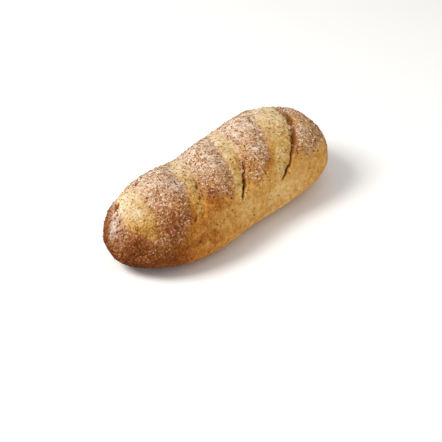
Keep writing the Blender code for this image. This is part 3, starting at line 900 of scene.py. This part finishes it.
def baked_crust():
    """Whole wheat crust, oven-baked: matt, from cream where a slash opened late through gold to
    brown, in mottles, with painted shade low down on the low end. Bran too fine to lie proud is
    speckled into it, and flour and a painted sheen whiten the top."""
    material, nodes, shader = new_material("whole wheat crust, oven baked")
    place = add(nodes, "place")
    zone = {name: add(nodes, "carried", attribute_name=name)
            for name in ("opened", "bran", "wall", "crack", "pit", "flour", "baked")}
    pattern = {name: add(nodes, "noise", place, 1 / (size * MM), detail, roughness)
               for name, (size, detail, roughness) in CRUST_PATTERNS.items()}
    colour = browned_skin(nodes, zone, pattern)
    colour = dusted(nodes, zone, pattern, place, colour)
    colour = torn_and_floured(nodes, zone, pattern, colour)
    rough = add(nodes, "range", pattern["dry patches"], *READ_AS["dry patches"])
    grit = add(nodes, "bump", pattern["grit"], GRIT_DEPTH, GRIT_STRENGTH)
    for socket, output in (("Base Color", colour), ("Roughness", rough), ("Normal", grit)):
        nodes.id_data.links.new(output, shader.inputs[socket])
    shader.inputs["IOR"].default_value = CRUST_IOR
    shader.inputs["Specular IOR Level"].default_value = POROUS
    return material


def flake_finish(name, tones, roughness):
    """Dry milled flakes: matt, each one its own tone between the given ones."""
    material, nodes, shader = new_material(name)
    tone = add(nodes, "ramp", add(nodes, "carried", attribute_name="tone"), stops=tones)
    fleck = add(nodes, "noise", add(nodes, "place"), 1 / FLAKE_FLECK_SIZE)
    flecked = add(nodes, "range", fleck, *FLAKE_FLECKED)
    colour = add(nodes, "mix", flecked, tone, srgb(FLAKE_FLECK))
    nodes.id_data.links.new(colour, shader.inputs["Base Color"])
    shader.inputs["Roughness"].default_value = roughness
    shader.inputs["IOR"].default_value = CRUST_IOR
    shader.inputs["Specular IOR Level"].default_value = POROUS
    return material


# The pieces.

def fitted(points):
    """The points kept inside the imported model's box."""
    return np.clip(points, CAD_LOW, CAD_HIGH)


def make_crust(points, zones):
    """The whole skin of the loaf as one closed piece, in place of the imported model's."""
    rows, columns = points.shape[:2]
    lifted = np.linalg.norm(points[:, 0] - points[:, -1], axis=1) < CLOSED
    faces = closed_faces(rows, columns, lifted)
    tips = []
    for side in (-1, 1):
        height = through_three(side, HEIGHTS) * WIDEST_AT * (1 - END_DROP)
        tips.append((side * LENGTH / 2 - MIDDLE[0], BOW * (1 - 1 / 3) - MIDDLE[1], height))
    every_point = fitted(np.concatenate([points.reshape(-1, 3), np.array(tips)]))
    values = {label: np.concatenate([field.ravel(), [field[0].mean(), field[-1].mean()]])
              for label, field in zones.items()}
    crust = mesh_piece("crust", every_point, faces, values, baked_crust())
    tidy_normals(crust)
    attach(crust, "root")
    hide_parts("loaf")


def make_flakes(name, spots, draw, material):
    """One piece of many flakes, each with a tone of its own."""
    places, facing, darkness = spots
    corners, faces, each = flakes(places, facing, draw, *FLAKE_SHAPES[name])
    tone = draw.random(len(places)) - FLAKE_DARKENING * (darkness - DARKENS_FROM)
    tone = np.repeat(np.clip(tone, 0, 1), each)
    piece = mesh_piece(name, fitted(corners), faces, {"tone": tone}, material)
    piece.data.shade_flat()
    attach(piece, "root")


def build_loaf():
    """The crust, and on it the bran and the flour, from the largest flakes to the finest."""
    grid = crust_grid()
    points, _, zones = grid
    make_crust(points, zones)
    opened, turn = zones["opened"], zones["turn"]
    behind = smooth(turn, *BEHIND)
    tall_end = smooth(points[..., 0], *TALL_END)
    clumped = np.clip(CLUMP_MEAN + uneven(points, "bran clumps"), *CLUMPS)
    bran = zones["bran"] * clumped * (1 - THIN_BEHIND * behind)
    darker = (ASTRAY_DARKER - LESS_IN_SLASH * opened) * (1 - smooth(zones["bran"], *ASTRAY))
    zones["shade"] = np.maximum(zones["baked"] + darker, DARKENS_FROM)
    specks = opened * (1 - FEWER_SPECKS * tall_end)
    specks *= 1 - FEWER_SPECKS * smooth(-turn, *LOW_FRONT) * tall_end
    down = smooth(turn, *FRONT_STRAYS) * (1 - smooth(turn, *BACK_STRAYS))
    pale = flake_finish("wheat bran, pale side up", PALE_TONES, PALE_ROUGH)
    toasted = flake_finish("wheat bran, toasted", TOASTED_TONES, TOASTED_ROUGH)
    milled = flake_finish("coarse wheat flour, loose", FLOUR_TONES, FLOUR_ROUGH)

    draw = np.random.default_rng(FLAKE_SEED)
    make_flakes("coarse_bran", coarse_places(grid), draw, pale)
    thick = bran + PALE_ASTRAY * down + PALE_ASTRAY * opened
    make_flakes("pale_bran", scatter(grid, thick, PALE_FLAKES, draw), draw, pale)
    zones["shade"] = zones["shade"] - PALER_IN_SLASH * opened
    thick = bran * (1 - TOASTED_BEHIND * behind) + TOASTED_ASTRAY * down + TOASTED_SPECKS * specks
    make_flakes("toasted_bran", scatter(grid, thick, TOASTED_FLAKES, draw), draw, toasted)
    thick = FLOUR_ON_BRAN * bran + FLOUR_GRAIN_SHARE * zones["flour"]
    make_flakes("milled_flour", scatter(grid, thick, FLOUR_GRAINS, draw), draw, milled)


# The room: a pale floor, soft light from the upper left and behind, and the camera.

VIEW_AZIMUTH, VIEW_ELEVATION, VIEW_ROLL = -46.8, 35.0, -2.0
VIEW_DISTANCE = 1.056
VIEW_LENS = 84.7
VIEW_AIM = Vector((-0.0120, -0.0105, 0.0))

FLOOR_REACH = 4.0
FLOOR_CLOUDS = 0.5
FLOOR_WHITES = ("#f4f3f1", "#f7f6f4")
FLOOR_ROUGH = 0.7
SKY_STRENGTH = 0.58


def make_floor():
    """A board with emulsion paint, matt and very nearly white, so that it takes a soft shadow."""
    material, nodes, shader = new_material("pale painted board")
    cloud = add(nodes, "noise", add(nodes, "place"), 1 / FLOOR_CLOUDS)
    colour = add(nodes, "mix", cloud, *map(srgb, FLOOR_WHITES))
    nodes.id_data.links.new(colour, shader.inputs["Base Color"])
    shader.inputs["Roughness"].default_value = FLOOR_ROUGH
    corners = FLOOR_REACH * np.array([(-1, -1, 0), (1, -1, 0), (1, 1, 0), (-1, 1, 0)])
    floor = mesh_piece("floor", corners, [(0, 1, 2, 3)], {}, material)
    floor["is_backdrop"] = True


def soft_light(name, azimuth, elevation, distance, size, watts, colour):
    """A square softbox that faces the loaf. Azimuth runs as the camera's does."""
    light = bpy.data.lights.new(name, "AREA")
    light.size = size
    light.energy = watts
    light.color = srgb(colour)[:3]
    lamp = bpy.data.objects.new(name, light)
    lamp.location = place_around(azimuth, elevation, distance)
    lamp.rotation_euler = (-lamp.location).to_track_quat("-Z", "Y").to_euler()
    bpy.context.scene.collection.objects.link(lamp)


def place_around(azimuth, elevation, distance):
    """A point at a distance from the loaf. Azimuth 0 is its front, and angles are in degrees."""
    a, e = math.radians(azimuth), math.radians(elevation)
    return distance * Vector((math.sin(a) * math.cos(e), -math.cos(a) * math.cos(e), math.sin(e)))


def make_light():
    """White all round, with a soft key light from behind on the left and a weak fill in front."""
    world = bpy.data.worlds.new("white studio")
    world.use_nodes = True
    sky = world.node_tree.nodes["Background"]
    sky.inputs["Color"].default_value = srgb("#ffffff")
    sky.inputs["Strength"].default_value = SKY_STRENGTH
    bpy.context.scene.world = world
    soft_light("key", azimuth=-122, elevation=50, distance=1.6, size=0.7, watts=24, colour="#fffefb")
    soft_light("fill", azimuth=20, elevation=40, distance=1.8, size=1.4, watts=4, colour="#ffffff")
    bpy.context.scene.view_settings.view_transform = "Standard"


def make_camera():
    """A long lens from the low end's front, looking down along the slashes."""
    camera = bpy.data.objects.new("camera", bpy.data.cameras.new("camera"))
    camera.data.lens = VIEW_LENS
    away = place_around(VIEW_AZIMUTH, VIEW_ELEVATION, VIEW_DISTANCE)
    camera.location = VIEW_AIM + away
    upright = (-away).to_track_quat("-Z", "Y")
    roll = Quaternion((0, 0, 1), math.radians(VIEW_ROLL))
    camera.rotation_euler = (upright @ roll).to_euler()
    bpy.context.scene.collection.objects.link(camera)
    bpy.context.scene.camera = camera


make_camera()
make_light()
make_floor()
build_loaf()

visual_low, visual_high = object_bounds()
({"cad": [list(map(float, CAD_LOW)), list(map(float, CAD_HIGH))],
           "visual": [list(visual_low), list(visual_high)]})
